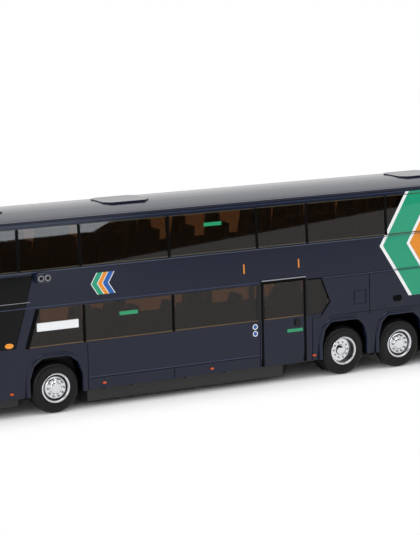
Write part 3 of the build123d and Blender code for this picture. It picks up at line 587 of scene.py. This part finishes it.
def grown(name, tree, values, body):
    """Piece made by a geometry tree with these inputs, as a plain mesh."""
    seed = bpy.data.objects.new(f"{name}_seed", bpy.data.meshes.new(f"{name}_seed"))
    bpy.context.scene.collection.objects.link(seed)
    modifier = seed.modifiers.new("growth", "NODES")
    modifier.node_group = tree
    for item in tree.interface.items_tree:
        if item.in_out == "INPUT":
            modifier[item.identifier] = values[item.name]
    graph = bpy.context.evaluated_depsgraph_get()
    mesh = bpy.data.meshes.new_from_object(seed.evaluated_get(graph))
    bpy.data.objects.remove(seed)
    mesh.name = name
    piece = bpy.data.objects.new(name, mesh)
    bpy.context.scene.collection.objects.link(piece)
    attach(piece, body)
    return piece


NUT_COUNT = 10
# Painted shade: black discs stand for the dark inside the slots of the rims that are not dished; ring radius and
# depth behind the rim face
SLOT_RING = 3.24
SLOT_DEPTH = 0.62
nut_ring = nut_ring_tree()
wheel_kinds = [
    # name, tyre width, twin offset, dished, nut ring radius, place of the nuts out from the rim face
    ("front", 4.0, 0.0, False, 2.3, 0.02),
    ("drive", 3.6, 4.5, True, 2.2, -1.8),
    ("tag", 4.0, 0.0, False, 2.3, 0.02),
]
for axle, width, twin, dished, nut_place, nut_out in wheel_kinds:
    centre = axle_places[axle]
    body = f"{axle}_axle"
    tyres = bmesh.new()
    rims = bmesh.new()
    painted_shade_rings = bmesh.new()
    for side in [-1, 1]:
        turned_loop(tyres, tyre_profile(TYRE_FACE, width), centre, side, WHEEL_STEPS)
        if twin:
            turned_loop(tyres, tyre_profile(TYRE_FACE - twin, width), centre, side, WHEEL_STEPS)
        capped(rims, turned(rims, rim_profile(dished), centre, side, WHEEL_STEPS))
        turned_loop(painted_shade_rings, painted_shade_profile(dished), centre, side, WHEEL_STEPS)
    shade(finish_piece(f"{axle}_wheel_tyres", tyres, "tyre", body, [f"{axle}_tyres"]), 40)
    shade(finish_piece(f"{axle}_wheel_rims", rims, "wheel_chrome", body, [f"{axle}_hubs"]), 40)
    # Dark rings in the rim grooves and dished barrels: painted shade and painted reflection
    shade(finish_piece(f"{axle}_rim_painted_shade_rings", painted_shade_rings, "wheel_chrome", body, finish="rim_painted_shade"), 40)
    face = RIM_FACE + nut_out
    values = {
        "Count": NUT_COUNT,
        "Ring Radius": nut_place * MM,
        "Nut Radius": 0.3 * MM,
        "Nut Height": 0.6 * MM,
        "Nut Sides": 6,
        "Left Place": (centre.x, face * MM, centre.z),
        "Right Place": (centre.x, -face * MM, centre.z),
        "Finish": finishes["steel"],
    }
    grown(f"{axle}_wheel_nuts", nut_ring, values, body)
    # Black discs in the slots, as painted shade
    if not dished:
        slot_face = RIM_FACE - SLOT_DEPTH
        values.update({
            "Ring Radius": SLOT_RING * MM,
            "Nut Radius": 0.2 * MM,
            "Nut Height": 0.12 * MM,
            "Nut Sides": 12,
            "Left Place": (centre.x, slot_face * MM, centre.z),
            "Right Place": (centre.x, -slot_face * MM, centre.z),
            "Finish": finishes["black_matte"],
        })
        grown(f"{axle}_wheel_slot_painted_shade", nut_ring, values, body)


# Strips along the sides: seals, window edges, dividers, trim lines and painted highlight lines
# How far a strip reaches into the body, in millimetres
STRIP_ROOT = 0.25


def side_strip(work, points, width, stand, side):
    """Adds a strip along (distance behind the front axle, height) points, standing off the body."""
    for (first_aft, first_z), (second_aft, second_z) in zip(points, points[1:]):
        run = Vector((first_aft - second_aft, second_z - first_z)).normalized() * width / 2
        corners = [
            (first_aft - run.y, first_z - run.x),
            (first_aft + run.y, first_z + run.x),
            (second_aft + run.y, second_z + run.x),
            (second_aft - run.y, second_z - run.x),
        ]
        inner = side_ring(work, corners, lambda height: side_at(height) - STRIP_ROOT, side)
        outer = side_ring(work, corners, lambda height: side_at(height) + stand, side)
        capped(work, [inner, outer])


UPPER_DIVIDERS = [-26.2, -9.2, 8.2, 34.1, 60.8, 76.5, 102.1, 127.5, 138.5]
LOWER_DIVIDERS = [8.5, 34.6, 60.5]
UPPER_LOW, UPPER_HIGH = 38.5, 49.7
LOWER_LOW, LOWER_HIGH = 18.3, 28.4
strip_runs = [
    # name, finish, width, stand, runs of (distance behind the front axle, height) points
    ("door_seals", "divider", 0.66, 0.05, [
        [(61.74, 5.4), (61.74, 28.8)],
        [(75.18, 5.4), (75.18, 28.8)],
        [(61.5, 28.75), (75.4, 28.75)],
    ]),
    ("quarter_window_frame", "divider", 0.4, 0.05, [
        [(76.0, 28.4), (80.4, 28.4)],
        [(80.4, 28.5), (83.2, 21.4)],
        [(83.2, 21.6), (80.4, 18.0)],
    ]),
    ("front_window_edge", "divider", 1.15, 0.05, [[(-4.6, 28.5), (-7.9, 18.2)]]),
    ("window_dividers", "divider", 0.7, 0.05, [
        [(place, UPPER_LOW), (place, UPPER_HIGH)] for place in UPPER_DIVIDERS[1:-1]
    ] + [
        [(place, LOWER_LOW), (place, LOWER_HIGH)] for place in LOWER_DIVIDERS[:-1]
    ]),
    ("rear_vent", "divider", 1.5, 0.05, [[(104.0, 20.2), (106.6, 20.2)]]),
    # The door's top rail is light grey as a painted highlight
    ("door_top_rail", "rail_highlight_and_panel_line", 0.26, 0.42, [[(61.5, 29.36), (75.4, 29.36)]]),
    ("panel_line", "rail_highlight_and_panel_line", 0.12, 0.05, [[(-6.6, 30.5), (-17.3, 30.5)]]),
    # Pale blue strip along the waist: a painted highlight on the ledge
    ("waist_highlight_line", "waist_painted_highlight", 0.12, 0.24, [[(-26.6, 38.22), (138.9, 38.22)]]),
    # Light navy strips along the panel edges and seams: painted highlights
    ("edge_highlight_lines", "painted_highlight_navy", 0.2, 0.06, [
        [(-26.6, 50.5), (139.0, 50.5)],
        [(-16.0, 29.0), (60.6, 29.0)],
        [(81.0, 28.4), (145.0, 28.4)],
        [(9.4, 8.68), (60.6, 8.68)],
    ]),
]
for side, side_name in SIDES:
    for name, finish, width, stand, runs in strip_runs:
        strip = bmesh.new()
        for points in runs:
            side_strip(strip, points, width, stand, side)
        finish_piece(f"{name}_{side_name}", strip, "black_matte", "coach_body", finish=finish)


# Panes that stand flush in the openings of the casting
PANE_SINK = 0.08
PANE_DEPTH = 1.0
PANE_GAP = 0.05
# Half the width of the post between two upper windows
POST_HALF = 0.4


def pane(work, outline, side):
    """Adds a pane from its (distance behind the front axle, height) corners."""
    middle_aft = sum(place for place, height in outline) / len(outline)
    middle_z = sum(height for place, height in outline) / len(outline)
    corners = [
        (
            place - math.copysign(PANE_GAP, place - middle_aft),
            height - math.copysign(PANE_GAP, height - middle_z),
        )
        for place, height in outline
    ]
    outer = side_ring(work, corners, lambda height: side_at(height) - PANE_SINK, side)
    inner = side_ring(work, corners, lambda height: side_at(height) - PANE_SINK - PANE_DEPTH, side)
    capped(work, [outer, inner])


def box_outline(front, rear, low, high):
    """Corners of an upright rectangle on the side."""
    return [(front, low), (rear, low), (rear, high), (front, high)]


upper_panes = [
    box_outline(front + POST_HALF, rear - POST_HALF, UPPER_LOW, UPPER_HIGH)
    for front, rear in zip(UPPER_DIVIDERS, UPPER_DIVIDERS[1:])
]
lower_panes = [
    [(-8.1, LOWER_LOW), (8.1, LOWER_LOW), (8.1, LOWER_HIGH), (-4.6, LOWER_HIGH)],
    box_outline(8.9, 34.2, LOWER_LOW, LOWER_HIGH),
    box_outline(35.0, 60.1, LOWER_LOW, LOWER_HIGH),
    box_outline(62.4, 74.5, LOWER_LOW, LOWER_HIGH),
]
for side, side_name in SIDES:
    for level, outlines in [("upper", upper_panes), ("lower", lower_panes)]:
        work = bmesh.new()
        for outline in outlines:
            pane(work, outline, side)
        stands_for = [f"glazing_{level}_{side_name}"]
        finish_piece(f"{level}_panes_{side_name}", work, "tinted_glass", "coach_body", stands_for)


# Wheel arches: a rounded lip on the casting, with a dark liner and wall behind it
# An arch curves in above HAUNCH_FOOT; lip and liner end at SKIRT_FOOT, the wall at WALL_FOOT
HAUNCH_FOOT = 9.5
ARCH_STEPS = 14
SKIRT_FOOT = 5.3
WALL_FOOT = 8.4
WALL_INNER, WALL_OUTER = 7.5, 7.9
arch_places = [
    # axle, half width inside, half of the flat top, top
    ("front", 7.45, 2.8, 15.3),
    ("drive", 7.2, 3.4, 15.6),
    ("tag", 7.2, 3.4, 15.6),
]
lip_section = [
    # grown from the inside line, distance from the coach's middle
    (0.0, 16.2),
    (0.0, 17.02),
    (0.12, 17.14),
    (0.45, 17.2),
    (0.8, 17.16),
    (1.0, 17.04),
    (1.12, 16.78),
    (1.12, 16.2),
]
liner_section = [(0.0, 16.3), (0.3, 16.3), (0.3, WALL_INNER), (0.0, WALL_INNER)]
arch_forms = [
    # name, section, material slot, finish
    ("arch_lips", lip_section, "body_paint", None),
    ("arch_liners", liner_section, "black_matte", "divider"),
]


def arch_line(axle, half, top_half, top, foot):
    """Arch line of (distance behind the front axle, height) points, up, over and down to a foot."""
    place = behind_front(axle)
    corner = []
    for step in range(ARCH_STEPS + 1):
        turn = math.pi / 2 * step / ARCH_STEPS
        across = top_half + (half - top_half) * math.cos(turn)
        corner.append((across, HAUNCH_FOOT + (top - HAUNCH_FOOT) * math.sin(turn)))
    rear = [(half, foot)] + corner
    front = [(-across, height) for across, height in rear]
    return [(place + across, height) for across, height in front + rear[::-1]]


def swept_arch(work, section, axle_arch, side):
    """Adds a closed form that follows an arch with this section."""
    axle, half, top_half, top = axle_arch
    rings = []
    for grown_by, across in section:
        line = arch_line(axle, half + grown_by, top_half, top + grown_by, SKIRT_FOOT)
        rings.append(side_ring(work, line, lambda height: across, side))
    bridge(work, rings + rings[:1], False)
    work.faces.new([ring[0] for ring in rings])
    work.faces.new([ring[-1] for ring in rings])


for side, side_name in SIDES:
    for name, section, material_slot, finish in arch_forms:
        work = bmesh.new()
        for axle_arch in arch_places:
            swept_arch(work, section, axle_arch, side)
        piece = finish_piece(f"{name}_{side_name}", work, material_slot, "coach_body", finish=finish)
        shade(piece, 50)
    walls = bmesh.new()
    for axle_arch in arch_places:
        line = arch_line(*axle_arch, WALL_FOOT)
        inner = side_ring(walls, line, lambda height: WALL_INNER, side)
        outer = side_ring(walls, line, lambda height: WALL_OUTER, side)
        capped(walls, [inner, outer])
    finish_piece(f"arch_walls_{side_name}", walls, "black_matte", "coach_body", finish="divider")


# Roof edge strip, a painted dark reflection, and gutter, from nose to tail on both sides
CROWN_HEIGHT = 53.0
CROWN_RADIUS = 75.0
GUTTER_ENDS = (-26.0, 140.0)


def roof_at(across):
    """Height of the casting's roof at a distance from the coach's middle."""
    return CROWN_HEIGHT - CROWN_RADIUS + math.sqrt(CROWN_RADIUS**2 - across**2)


# A thin strip over the roof's shoulder, duller than the paint: a painted dark reflection
edge_section = [
    # distance from the coach's middle, height
    (14.2, roof_at(14.2) - 0.2),
    (14.2, roof_at(14.2) + 0.04),
    (14.8, roof_at(14.8) + 0.04),
    (15.3, roof_at(15.3) + 0.02),
    (15.3, roof_at(15.3) - 0.2),
]
gutter_section = [
    (15.15, 51.3),
    (15.2, 51.6),
    (16.0, 51.6),
    (16.12, 51.53),
    (16.17, 51.4),
    (16.15, 51.2),
    (16.05, 51.05),
    (15.9, 50.98),
    (15.5, 50.98),
]


def long_moulding(section, side, name, material_slot, finish=None):
    """Straight moulding along the side of the roof with this section."""
    work = bmesh.new()
    rings = [
        [work.verts.new((aft(place), side * across * MM, height * MM)) for across, height in section]
        for place in GUTTER_ENDS
    ]
    capped(work, rings)
    shade(finish_piece(name, work, material_slot, "coach_body", finish=finish), 40)


for side, side_name in SIDES:
    long_moulding(edge_section, side, f"roof_painted_reflection_{side_name}", "body_paint", "roof_painted_reflection")
    long_moulding(gutter_section, side, f"gutter_{side_name}", "body_paint")


# Marker lamps: small rounded lenses where the casting carries them
def loose_parts(node):
    """Lowest and highest corners of each separate part of a node."""
    work = bmesh.new()
    work.from_mesh(node.data)
    work.transform(node.matrix_world)
    bmesh.ops.remove_doubles(work, verts=work.verts, dist=1e-6)
    found = []
    taken = set()
    for start in work.verts:
        if start in taken:
            continue
        taken.add(start)
        group = [start]
        for vert in group:
            for edge in vert.link_edges:
                other = edge.other_vert(vert)
                if other not in taken:
                    taken.add(other)
                    group.append(other)
        low = Vector([min(vert.co[axis] for vert in group) for axis in range(3)])
        high = Vector([max(vert.co[axis] for vert in group) for axis in range(3)])
        found.append((low, high))
    work.free()
    return found


LENS_STEPS = 24
# A lamp longer than this is a repeater; the shares are of the lamp's box that the lens fills
REPEATER_LENGTH = 2.2
REPEATER_SHARE = 0.92
MARKER_SHARE = 0.72
lens_section = [
    # share of the half size, share of the stand
    (1.0, 0.0),
    (1.0, 0.45),
    (0.86, 0.75),
    (0.55, 0.94),
    (0.2, 1.0),
]


def lens(work, low, high):
    """Adds an oval lens in the box of one lamp, smaller than the box and domed outward."""
    middle = (low + high) / 2
    size = high - low
    side = math.copysign(1, middle.y)
    base, top = sorted([abs(low.y), abs(high.y)])
    share = REPEATER_SHARE if size.x > REPEATER_LENGTH * MM else MARKER_SHARE
    rings = []
    for grow, stand in lens_section:
        ring = []
        for step in range(LENS_STEPS):
            angle = 2 * math.pi * step / LENS_STEPS
            place = (
                middle.x + size.x / 2 * share * grow * math.cos(angle),
                side * (base + (top - base) * stand),
                middle.z + size.z / 2 * share * grow * math.sin(angle),
            )
            ring.append(work.verts.new(place))
        rings.append(ring)
    capped(work, rings)


lenses = bmesh.new()
for low, high in loose_parts(nodes["marker_lamps"]):
    lens(lenses, low, high)
shade(finish_piece("marker_lenses", lenses, "lamp_orange", "coach_body", ["marker_lamps"]), 50)


# Camera pods: a rounded lozenge with two round knobs in bright collars
# How far the pod's foot is raised, and the roundings of its corners and of its outer rim
POD_RAISE = 0.5
POD_CORNER = 0.95
POD_RIM = 0.4
KNOB_OFFSET = 0.95
KNOB_STEPS = 32
# Radius and distance out from the pod's face
collar_section = [(0.86, -0.3), (0.86, -0.02), (0.76, 0.1), (0.6, 0.12)]
knob_section = [(0.5, -0.2), (0.5, 0.13), (0.42, 0.18), (0.2, 0.2)]


def camera_pod(side, side_name):
    """Rounded pod on the side below the upper windows, with its two knobs."""
    low, high = (Vector(corner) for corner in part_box(f"side_pod_{side_name}"))
    low.z += POD_RAISE * MM
    work = bmesh.new()
    middle = (low + high) / 2
    size = high - low
    shape = bmesh.ops.create_cube(work, size=1.0)
    for vert in shape["verts"]:
        vert.co = Vector((vert.co.x * size.x, vert.co.y * size.y, vert.co.z * size.z)) + middle
    upright = [edge for edge in work.edges if abs(edge.verts[0].co.y - edge.verts[1].co.y) > 1e-6]
    bmesh.ops.bevel(
        work, geom=upright, offset=POD_CORNER * MM, segments=4, affect="EDGES", profile=0.5
    )
    outward = max if side > 0 else min
    outer_y = outward(vert.co.y for vert in work.verts)
    rim = [edge for edge in work.edges if all(abs(vert.co.y - outer_y) < 1e-7 for vert in edge.verts)]
    bmesh.ops.bevel(work, geom=rim, offset=POD_RIM * MM, segments=3, affect="EDGES", profile=0.5)
    stands_for = [f"side_pod_{side_name}"]
    shade(finish_piece(f"camera_pod_{side_name}", work, "pod_grey", "coach_body", stands_for), 40)
    knobs = bmesh.new()
    collars = bmesh.new()
    base = abs(outer_y) / MM
    for offset in [-KNOB_OFFSET, KNOB_OFFSET]:
        centre = Vector((middle.x + offset * MM, 0, middle.z))
        for form, section in [(collars, collar_section), (knobs, knob_section)]:
            profile = [(radius, base + out) for radius, out in section]
            capped(form, turned(form, profile, centre, side, KNOB_STEPS))
    shade(finish_piece(f"camera_knobs_{side_name}", knobs, "black_gloss", "coach_body"), 50)
    collar = finish_piece(
        f"camera_collars_{side_name}", collars, "wheel_chrome", "coach_body", finish="steel"
    )
    shade(collar, 50)


for side, side_name in SIDES:
    camera_pod(side, side_name)


# Floor, light and background
def clear_rays(tree):
    """1 for rays that see the background plainly: from the camera, off gloss or through glass."""
    path = tree.nodes.new("ShaderNodeLightPath")
    seen = calc(tree, "MAXIMUM", path.outputs["Is Camera Ray"], path.outputs["Is Glossy Ray"])
    return calc(tree, "MAXIMUM", seen, path.outputs["Is Transmission Ray"])


FLOOR_SIZE = 6
COACH_HALF_LENGTH = 0.094
COACH_HALF_WIDTH = 0.017
# Distances outward from the coach's outline between which the floor turns white
SHADED_UP_TO = -0.009
WHITE_FROM = 0.019


def build_floor():
    """Pale floor that keeps the shadow near the coach and turns white away from it."""
    bpy.ops.mesh.primitive_plane_add(size=FLOOR_SIZE)
    floor = bpy.context.object
    floor.name = "studio_floor"
    material, tree, shader = new_material("floor_white")
    shader.inputs["Base Color"].default_value = (0.92, 0.92, 0.92, 1)
    shader.inputs["Roughness"].default_value = 0.7
    shader.inputs["Specular IOR Level"].default_value = 0.2
    coordinates = tree.nodes.new("ShaderNodeTexCoord")
    parts = tree.nodes.new("ShaderNodeSeparateXYZ")
    tree.links.new(coordinates.outputs["Object"], parts.inputs["Vector"])
    beyond_ends = calc(tree, "SUBTRACT", calc(tree, "ABSOLUTE", parts.outputs["X"]), COACH_HALF_LENGTH)
    beyond_sides = calc(tree, "SUBTRACT", calc(tree, "ABSOLUTE", parts.outputs["Y"]), COACH_HALF_WIDTH)
    distance = calc(tree, "MAXIMUM", beyond_ends, beyond_sides)
    spread = tree.nodes.new("ShaderNodeMapRange")
    spread.interpolation_type = "SMOOTHSTEP"
    spread.inputs["From Min"].default_value = SHADED_UP_TO
    spread.inputs["From Max"].default_value = WHITE_FROM
    tree.links.new(distance, spread.inputs["Value"])
    glow = tree.nodes.new("ShaderNodeEmission")
    mix = tree.nodes.new("ShaderNodeMixShader")
    tree.links.new(calc(tree, "MULTIPLY", spread.outputs["Result"], clear_rays(tree)), mix.inputs["Fac"])
    tree.links.new(shader.outputs["BSDF"], mix.inputs[1])
    tree.links.new(glow.outputs["Emission"], mix.inputs[2])
    tree.links.new(mix.outputs["Shader"], tree.nodes["Material Output"].inputs["Surface"])
    floor.data.materials.append(material)


# Sheets beside the coach that its gloss reflects
flag_ends = [Vector((aft(-120), 0.262, 0)), Vector((aft(700), 0.803, 0))]
FLAG_HEIGHT = 0.3
CARD_NEARER = Vector((0.002, -0.002, 0))
CARD_COLOUR = (0.86, 0.93, 1.0, 1)
CARD_STRENGTH = 7.0
card_corners = [
    # share of the flag's length, height
    (0.25, 0.021),
    (0.405, 0.0165),
    (0.425, 0.021),
    (0.41, 0.034),
    (0.25, 0.034),
]


def reflected_sheet(name, material, corners):
    """Flat sheet in the studio that shows only in reflections."""
    work = bmesh.new()
    work.faces.new([work.verts.new(corner) for corner in corners])
    mesh = bpy.data.meshes.new(name)
    work.to_mesh(mesh)
    work.free()
    mesh.materials.append(material)
    sheet = bpy.data.objects.new(name, mesh)
    bpy.context.scene.collection.objects.link(sheet)
    sheet.visible_camera = False
    sheet.visible_diffuse = False
    sheet.visible_transmission = False
    sheet.visible_shadow = False
    return sheet


def build_reflections():
    """Dark flag on the camera side, with a light card just in front of it."""
    dark, tree, shader = new_material("dark_card")
    shader.inputs["Base Color"].default_value = (0.01, 0.01, 0.01, 1)
    shader.inputs["Roughness"].default_value = 1.0
    shader.inputs["Specular IOR Level"].default_value = 0.0
    near, far = flag_ends
    rise = Vector((0, 0, FLAG_HEIGHT))
    flag = reflected_sheet("studio_flag", dark, [near, far, far + rise, near + rise])

    light, tree, shader = new_material("light_card")
    glow = tree.nodes.new("ShaderNodeEmission")
    glow.inputs["Color"].default_value = CARD_COLOUR
    glow.inputs["Strength"].default_value = CARD_STRENGTH
    tree.links.new(glow.outputs["Emission"], tree.nodes["Material Output"].inputs["Surface"])
    corners = [
        near + (far - near) * share + CARD_NEARER + Vector((0, 0, height))
        for share, height in card_corners
    ]
    card = reflected_sheet("studio_card", light, corners)


lamps = [
    # name, place, aim, size, power
    ("overhead", (0.05, 0.15, 0.75), (0, 0, 0.02), 0.7, 3.0),
    ("front_fill", (0.6, 0.7, 0.35), (0.05, 0, 0.03), 0.4, 1.2),
]


WORLD_LEVEL = 0.7
SEEN_WHITE = 1.0


def build_light():
    """White world and soft lamps from above and from the camera side."""
    world = bpy.data.worlds.new("studio")
    world.use_nodes = True
    bpy.context.scene.world = world
    tree = world.node_tree
    background = tree.nodes["Background"]
    background.inputs["Color"].default_value = (1, 1, 1, 1)
    level = graded(tree, clear_rays(tree), WORLD_LEVEL, SEEN_WHITE)
    tree.links.new(level, background.inputs["Strength"])
    for name, place, aim, size, power in lamps:
        lamp = bpy.data.lights.new(name, "AREA")
        lamp.size = size
        lamp.energy = power
        light = bpy.data.objects.new(name, lamp)
        light.location = place
        light.rotation_euler = (Vector(aim) - Vector(place)).to_track_quat("-Z", "Y").to_euler()
        bpy.context.scene.collection.objects.link(light)


bpy.context.scene.view_settings.view_transform = "Standard"
set_camera()
build_floor()
build_reflections()
build_light()
